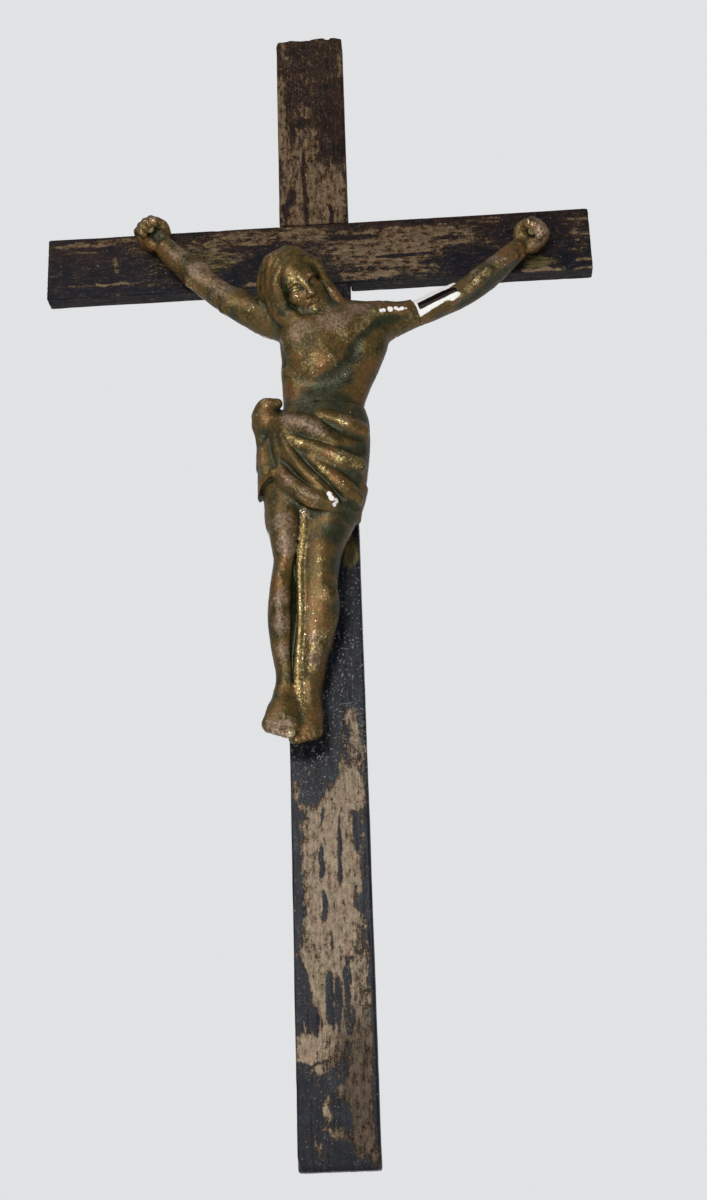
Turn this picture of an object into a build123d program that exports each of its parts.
"""Wall crucifix: a halved wooden cross with a cast plaster figure, its irons, nails and hanger.

Frame: origin on the back face at the centre of the crossing, +Z up the post, the front
faces -Y, +X to the right of someone looking at the front. Millimetres, real size.
"Right" and "left" in a part's name mean the figure's own right and left.
"""
from math import cos, radians, sin
import os

from build123d import *

# ---------------------------------------------------------------- driving dimensions
BOARD_WIDTH = 38.0
BOARD_THICKNESS = 11.0
POST_TOP = 144.0
POST_BOTTOM = -478.0
BEAM_LEFT = -147.5
BEAM_RIGHT = 150.5
EDGE_BREAK = 0.6

FRONT = -BOARD_THICKNESS
LAP = BOARD_THICKNESS / 2
LOW = (Align.CENTER, Align.CENTER, Align.MIN)
HIGH = (Align.CENTER, Align.CENTER, Align.MAX)
BACKWARDS = (0, 1, 0)

# Nails through the figure
HAND_NAIL_RADIUS = 1.0
HAND_NAIL_LENGTH = 22.0
HAND_NAIL_HEAD = 2.2
RIGHT_NAIL_AT = (-88.0, -25.2, 12.5)
LEFT_NAIL_AT = (118.0, -25.2, -3.0)
FOOT_NAIL_RADIUS = 1.25
FOOT_NAIL_LENGTH = 34.0
FOOT_NAIL_HEAD = 3.0
FOOT_NAIL_AT = (-20.5, -36.0, -271.0)
FOOT_NAIL_DIRECTION = (0.32, 0.94, 0.06)

# Irons cast into the plaster
IRON_WIDTH = 3.4
IRON_DEPTH = 2.2
IRON_LENGTH = 46.0
LEG_WIRE_RADIUS = 1.1

# Screw from behind into a wooden plug cast in the figure's back
PLUG_AT = (4.0, FRONT, -84.0)
PLUG_RADIUS = 6.0
PLUG_LENGTH = 16.0
SCREW_RADIUS = 1.75
SCREW_LENGTH = 22.0
SCREW_HEAD_RADIUS = 3.6
SCREW_HEAD_HEIGHT = 2.2

# Brads that hold the halving joint, driven from behind
BRAD_RADIUS = 0.7
BRAD_LENGTH = 9.0
BRAD_SPACING = 21.0

# Ring hanger let into the back of the post
HANGER_Z = 108.0
RECESS_DEPTH = 4.2
RING_RADIUS = 7.0
RING_WIRE = 0.8
PLATE_WIDTH = 32.0
PLATE_HEIGHT = 12.0
PLATE_THICKNESS = 0.8
EYE_WIDTH = 4.0
EYE_BORE = 1.2
EYE_WALL = 0.65
EYE_RADIUS = EYE_BORE + EYE_WALL
EYE_Y = -RECESS_DEPTH + EYE_RADIUS
PLATE_SCREW_SPACING = 23.0
PLATE_SCREW_RADIUS = 1.0
PLATE_SCREW_HEAD = 2.2
PLATE_SCREW_LENGTH = 5.5
SLACK = 0.5


# ---------------------------------------------------------------- shared shapes
def nail(head_at, direction, length, shank, head):
    """A wire nail whose head's underside is at head_at, pointing along direction."""
    point = 3 * shank
    dome = head * 0.45
    with BuildPart(Plane(origin=head_at, z_dir=direction)) as made:
        Cylinder(shank, length - point, align=LOW)
        with Locations((0, 0, length - point)):
            Cone(shank, 0.2, point, align=LOW)
        Cylinder(head, dome, align=HIGH)
        top = made.edges().filter_by(GeomType.CIRCLE).sort_by(Axis(head_at, direction))[0]
        fillet(top, dome * 0.8)
    return made.part


def countersunk_screw(head_at, direction, length, shank, head, head_height):
    """A countersunk wood screw whose flat head is flush at head_at."""
    point = 3 * shank
    with BuildPart(Plane(origin=head_at, z_dir=direction)) as made:
        Cone(head, shank, head_height, align=LOW)
        Cylinder(shank, length - point, align=LOW)
        with Locations((0, 0, length - point)):
            Cone(shank, 0.3, point, align=LOW)
    return made.part


def upright_loft(sections):
    """A smooth solid through level ellipses given as (x, y, z, half width, half depth)."""
    with BuildPart() as made:
        for x, y, z, half_width, half_depth in sections:
            with BuildSketch(Plane(origin=(x, y, z))):
                Ellipse(half_width, half_depth)
        loft()
    return made.part


def limb(stations, along):
    """A smooth solid through circles square to a direction, given as (x, y, z, radius)."""
    with BuildPart() as made:
        for x, y, z, radius in stations:
            with BuildSketch(Plane(origin=(x, y, z), z_dir=along)):
                Circle(radius)
        loft()
    return made.part


def ball(centre, radius):
    """A sphere round a point."""
    with BuildPart() as made:
        with Locations(centre):
            Sphere(radius)
    return made.part


def hand(palm_at, fingers_along, thumb_towards):
    """A half-closed hand, palm to the front: heel, four curled fingers, thumb and hollow palm."""
    palm = Plane(origin=palm_at, x_dir=thumb_towards, z_dir=(0, -1, 0))
    up = 1 if palm.y_dir.dot(Vector(*fingers_along)) > 0 else -1
    with BuildPart(palm) as made:
        Sphere(8.6)
        # the fingers, rolled over towards the palm, and the thumb laid across them
        for index, reach in enumerate((8.2, 9.0, 8.6, 7.4)):
            with Locations(Location((5.1 - 3.4 * index, up * (reach - 2.4), 4.2), (0, 90, 0))):
                Torus(3.0, 2.1)
        with Locations(Location((7.2, up * 0.5, 1.5), (up * -60, 0, 0))):
            Cylinder(2.2, 8.0)
        with Locations((0, 0, 9.0)):
            Sphere(5.0, mode=Mode.SUBTRACT)
    return made.part


def arm_iron(middle, rise_angle):
    """A flat iron strip across the shoulder joint, rising outwards by rise_angle degrees."""
    along = (cos(radians(rise_angle)), 0, sin(radians(rise_angle)))
    with BuildPart(Plane(origin=middle, x_dir=along, z_dir=(0, 1, 0))) as made:
        Box(IRON_LENGTH, IRON_WIDTH, IRON_DEPTH)
        fillet(made.edges().filter_by(Axis(middle, along)), 0.4)
    return made.part


def leg_wire(points):
    """A bent wire through a leg, from the hip to the ankle."""
    with BuildPart() as made:
        with BuildLine() as route:
            Spline(*points)
        start_plane = Plane(origin=route.line @ 0, z_dir=route.line % 0)
        with BuildSketch(start_plane):
            Circle(LEG_WIRE_RADIUS)
        sweep()
    return made.part


# ---------------------------------------------------------------- nails, screws and brads
right_hand_nail = nail(
    RIGHT_NAIL_AT, BACKWARDS, HAND_NAIL_LENGTH, HAND_NAIL_RADIUS, HAND_NAIL_HEAD
)
left_hand_nail = nail(
    LEFT_NAIL_AT, BACKWARDS, HAND_NAIL_LENGTH, HAND_NAIL_RADIUS, HAND_NAIL_HEAD
)
foot_nail = nail(
    FOOT_NAIL_AT, FOOT_NAIL_DIRECTION, FOOT_NAIL_LENGTH, FOOT_NAIL_RADIUS, FOOT_NAIL_HEAD
)
torso_screw = countersunk_screw(
    (PLUG_AT[0], 0, PLUG_AT[2]),
    (0, -1, 0),
    SCREW_LENGTH,
    SCREW_RADIUS,
    SCREW_HEAD_RADIUS,
    SCREW_HEAD_HEIGHT,
)

with BuildPart() as halving_brads:
    for side_x in (-BRAD_SPACING / 2, BRAD_SPACING / 2):
        for side_z in (-BRAD_SPACING / 2, BRAD_SPACING / 2):
            with BuildSketch(Plane(origin=(side_x, 0, side_z), z_dir=(0, -1, 0))):
                Circle(BRAD_RADIUS)
            extrude(amount=BRAD_LENGTH)

# ---------------------------------------------------------------- hanger
hanger_back = -RECESS_DEPTH
with BuildPart() as hanger_plate:
    with BuildSketch(Plane(origin=(0, hanger_back, HANGER_Z), x_dir=(1, 0, 0), z_dir=(0, 1, 0))):
        SlotOverall(PLATE_WIDTH, PLATE_HEIGHT)
    extrude(amount=PLATE_THICKNESS)
    with Locations(Location((0, EYE_Y, HANGER_Z), (0, 90, 0))):
        Cylinder(EYE_RADIUS, EYE_WIDTH)
    with Locations(Location((0, EYE_Y, HANGER_Z), (0, 90, 0))):
        Cylinder(EYE_BORE, EYE_WIDTH, mode=Mode.SUBTRACT)
    for screw_x in (-PLATE_SCREW_SPACING / 2, PLATE_SCREW_SPACING / 2):
        with Locations(Location((screw_x, hanger_back, HANGER_Z), (90, 0, 0))):
            Cylinder(PLATE_SCREW_RADIUS, 4 * PLATE_THICKNESS, mode=Mode.SUBTRACT)

with BuildPart() as hanger_ring:
    ring_centre = (0, EYE_Y, HANGER_Z - RING_RADIUS)
    with BuildSketch(Plane(origin=ring_centre, x_dir=(1, 0, 0), z_dir=(0, 0, 1))):
        with Locations((RING_RADIUS, 0)):
            Circle(RING_WIRE)
    revolve(axis=Axis(ring_centre, (0, 1, 0)))

with BuildPart() as hanger_screws:
    for screw_x in (-PLATE_SCREW_SPACING / 2, PLATE_SCREW_SPACING / 2):
        head_at = (screw_x, hanger_back + PLATE_THICKNESS, HANGER_Z)
        add(nail(head_at, (0, -1, 0), PLATE_SCREW_LENGTH, PLATE_SCREW_RADIUS, PLATE_SCREW_HEAD))

# ---------------------------------------------------------------- the two boards
with BuildPart() as upright:
    with BuildSketch(Plane(origin=(0, 0, POST_BOTTOM))):
        Rectangle(BOARD_WIDTH, BOARD_THICKNESS, align=(Align.CENTER, Align.MAX))
    extrude(amount=POST_TOP - POST_BOTTOM)
    chamfer(upright.edges(), EDGE_BREAK)
    # half-lap housing across the front for the beam
    with Locations((0, FRONT, 0)):
        Box(BOARD_WIDTH, 2 * LAP, BOARD_WIDTH, mode=Mode.SUBTRACT)
    # housing for the hanger: a slot for the plate and one for the ring's swing
    with BuildSketch(Plane(origin=(0, 0, HANGER_Z), x_dir=(1, 0, 0), z_dir=(0, -1, 0))):
        SlotOverall(PLATE_WIDTH + SLACK, PLATE_HEIGHT + SLACK)
        ring_swing = 2 * (2 * RING_RADIUS + RING_WIRE + SLACK)
        SlotOverall(ring_swing, 2 * (RING_RADIUS + RING_WIRE + SLACK), rotation=90)
    extrude(amount=RECESS_DEPTH, mode=Mode.SUBTRACT)
    for fastener in (foot_nail, torso_screw, halving_brads.part, hanger_screws.part):
        add(fastener, mode=Mode.SUBTRACT)

with BuildPart() as crossbeam:
    with BuildSketch(Plane(origin=(BEAM_LEFT, 0, 0), z_dir=(1, 0, 0), x_dir=(0, 1, 0))):
        Rectangle(BOARD_THICKNESS, BOARD_WIDTH, align=(Align.MAX, Align.CENTER))
    extrude(amount=BEAM_RIGHT - BEAM_LEFT)
    chamfer(crossbeam.edges(), EDGE_BREAK)
    # half-lap housing across the back for the post
    Box(BOARD_WIDTH, 2 * LAP, BOARD_WIDTH, mode=Mode.SUBTRACT)
    for fastener in (right_hand_nail, left_hand_nail, halving_brads.part):
        add(fastener, mode=Mode.SUBTRACT)

# ---------------------------------------------------------------- irons and plug in the figure
right_arm_iron = arm_iron((-30.0, -25.0, -44.5), -36.0)
left_arm_iron = arm_iron((56.0, -26.6, -46.5), 25.0)
right_leg_wire = leg_wire([(-9, -30, -125), (-14, -30, -180), (-16.5, -28.5, -225), (-16.5, -25, -258)])
left_leg_wire = leg_wire([(4, -29, -125), (4, -28.5, -180), (0.5, -25, -225), (-5.5, -20.5, -258)])

with BuildPart() as torso_plug:
    with BuildSketch(Plane(origin=PLUG_AT, z_dir=(0, -1, 0))):
        Circle(PLUG_RADIUS)
    extrude(amount=PLUG_LENGTH, taper=-6)
    add(torso_screw, mode=Mode.SUBTRACT)

# ---------------------------------------------------------------- the cast figure
torso = upright_loft(
    [
        (9, -27, -43, 15, 8),
        (10, -28, -50, 28, 14),
        (10.5, -29, -62, 30.5, 17),
        (9, -29.5, -74, 27.5, 17.5),
        (6, -28.5, -90, 22.5, 16),
        (3.5, -28, -104, 21, 15),
        (-1, -29, -118, 26, 17),
        (-3.5, -29.5, -138, 28.5, 18),
        (-3.5, -29, -156, 25.5, 17),
        (-3, -28, -168, 20, 14),
    ]
)
right_leg = upright_loft(
    [
        (-13.5, -29, -150, 11.5, 14),
        (-14, -30, -180, 10.5, 12.5),
        (-16, -31, -203, 9, 10.5),
        (-17, -28.5, -224, 9, 10),
        (-16.5, -26, -244, 7.2, 8),
        (-16.5, -26, -260, 6, 7),
    ]
)
left_leg = upright_loft(
    [
        (7, -28, -150, 11.5, 13.5),
        (4, -28.5, -180, 10.5, 12.5),
        (1.5, -28.5, -203, 9.2, 10.5),
        (0, -25, -224, 9, 9.5),
        (-3.5, -21.5, -244, 7, 8),
        (-6, -21, -260, 6, 7),
    ]
)
right_foot = limb(
    [(-16.5, -24, -254, 6.5), (-18, -28, -264, 8), (-19, -32, -272, 8), (-19, -36, -279, 5)],
    (-0.1, -0.6, -0.8),
)
left_foot = limb(
    [(-6, -20, -254, 6), (-6.5, -22, -264, 7), (-7.5, -25, -272, 7.5), (-9, -29, -279.5, 5)],
    (-0.1, -0.45, -0.85),
)
RIGHT_JOINT = (-31.0, -24.5, -43.5, 8.3)
RIGHT_ARM_DIRECTION = (-0.79, 0.06, 0.61)
LEFT_JOINT = (53.0, -24.5, -47.0, 8.1)
LEFT_ARM_DIRECTION = (0.93, 0.06, 0.36)
right_shoulder = limb([(-6, -28, -56, 12.5), (-19, -26, -50, 10.5), RIGHT_JOINT], RIGHT_ARM_DIRECTION)
left_shoulder = limb([(24, -28, -57, 12.5), (40, -26, -53, 10.5), LEFT_JOINT], LEFT_ARM_DIRECTION)
neck = limb([(9, -29, -58, 10), (4, -32, -48, 9.5), (-1, -35, -40, 9)], (-0.45, -0.3, 0.85))
hair_right_lock = limb([(-19, -35, -32, 6), (-17, -36, -46, 7), (-9, -38, -60, 4)], (0.35, -0.1, -0.93))
hair_left_lock = limb([(6, -35, -32, 6), (11, -34, -44, 6.5), (18, -33, -53, 4)], (0.6, 0, -0.8))
loincloth_tail = upright_loft(
    [(-27.5, -30, -104, 6, 8), (-29, -29, -125, 6, 9), (-29, -28, -148, 5.5, 8), (-27, -28, -158, 4, 6)]
)

with BuildPart() as corpus_body:
    add(torso)
    for piece in (right_leg, left_leg, right_foot, left_foot, right_shoulder, left_shoulder, neck):
        add(piece)
    add(loincloth_tail)
    for centre, radius in (((-6, -39, -35), 18.5), ((-27, -33, -107), 8.0)):
        add(ball(centre, radius))
    for piece in (hair_right_lock, hair_left_lock):
        add(piece)
    # flat back where the figure lies on the wood
    with Locations((0, FRONT, -150)):
        Box(400, 2 * BOARD_THICKNESS, 400, align=(Align.CENTER, Align.MIN, Align.CENTER), mode=Mode.SUBTRACT)
    for held in (foot_nail, torso_screw, torso_plug.part, left_leg_wire, right_leg_wire):
        add(held, mode=Mode.SUBTRACT)
    for held in (right_arm_iron, left_arm_iron):
        add(held, mode=Mode.SUBTRACT)

with BuildPart() as corpus_right_arm:
    add(
        limb(
            [
                RIGHT_JOINT,
                (-43, -23, -35, 8.0),
                (-56, -21.5, -24, 7.8),
                (-68, -20.5, -11, 7.3),
                (-78, -20.5, 1, 6.8),
                (-84, -21, 8, 7.2),
            ],
            RIGHT_ARM_DIRECTION,
        )
    )
    add(hand((-87.5, -20.2, 12), (-0.66, 0, 0.75), (0.75, 0, 0.66)))
    for held in (right_arm_iron, right_hand_nail):
        add(held, mode=Mode.SUBTRACT)

with BuildPart() as corpus_left_arm:
    add(
        limb(
            [
                LEFT_JOINT,
                (67, -23.5, -42, 7.8),
                (81, -22, -35, 7.3),
                (95, -21, -24, 6.9),
                (108, -20.5, -12, 6.4),
                (114, -21, -6.5, 7.0),
            ],
            LEFT_ARM_DIRECTION,
        )
    )
    add(hand((118, -20.2, -3), (0.72, 0, 0.69), (-0.69, 0, 0.72)))
    # plaster broken away from the front of the upper arm, which bares the iron
    chip_plane = Plane(origin=(53.0, -28.3, -47.0), x_dir=LEFT_ARM_DIRECTION, z_dir=(-0.1, -0.96, 0.22))
    with BuildSketch(chip_plane):
        with Locations((12, 0)):
            Rectangle(26, 30)
    extrude(amount=10, mode=Mode.SUBTRACT)
    for held in (left_arm_iron, left_hand_nail):
        add(held, mode=Mode.SUBTRACT)

# ---------------------------------------------------------------- write one file per sub-part
finished = {
    "upright": upright.part,
    "crossbeam": crossbeam.part,
    "halving_brads": halving_brads.part,
    "corpus_body": corpus_body.part,
    "corpus_right_arm": corpus_right_arm.part,
    "corpus_left_arm": corpus_left_arm.part,
    "right_arm_iron": right_arm_iron,
    "left_arm_iron": left_arm_iron,
    "right_leg_wire": right_leg_wire,
    "left_leg_wire": left_leg_wire,
    "torso_plug": torso_plug.part,
    "torso_screw": torso_screw,
    "right_hand_nail": right_hand_nail,
    "left_hand_nail": left_hand_nail,
    "foot_nail": foot_nail,
    "hanger_plate": hanger_plate.part,
    "hanger_ring": hanger_ring.part,
    "hanger_screws": hanger_screws.part,
}
os.makedirs("parts", exist_ok=True)
for name, part in finished.items():
    part.label = name
    export_step(part, f"parts/{name}.step")
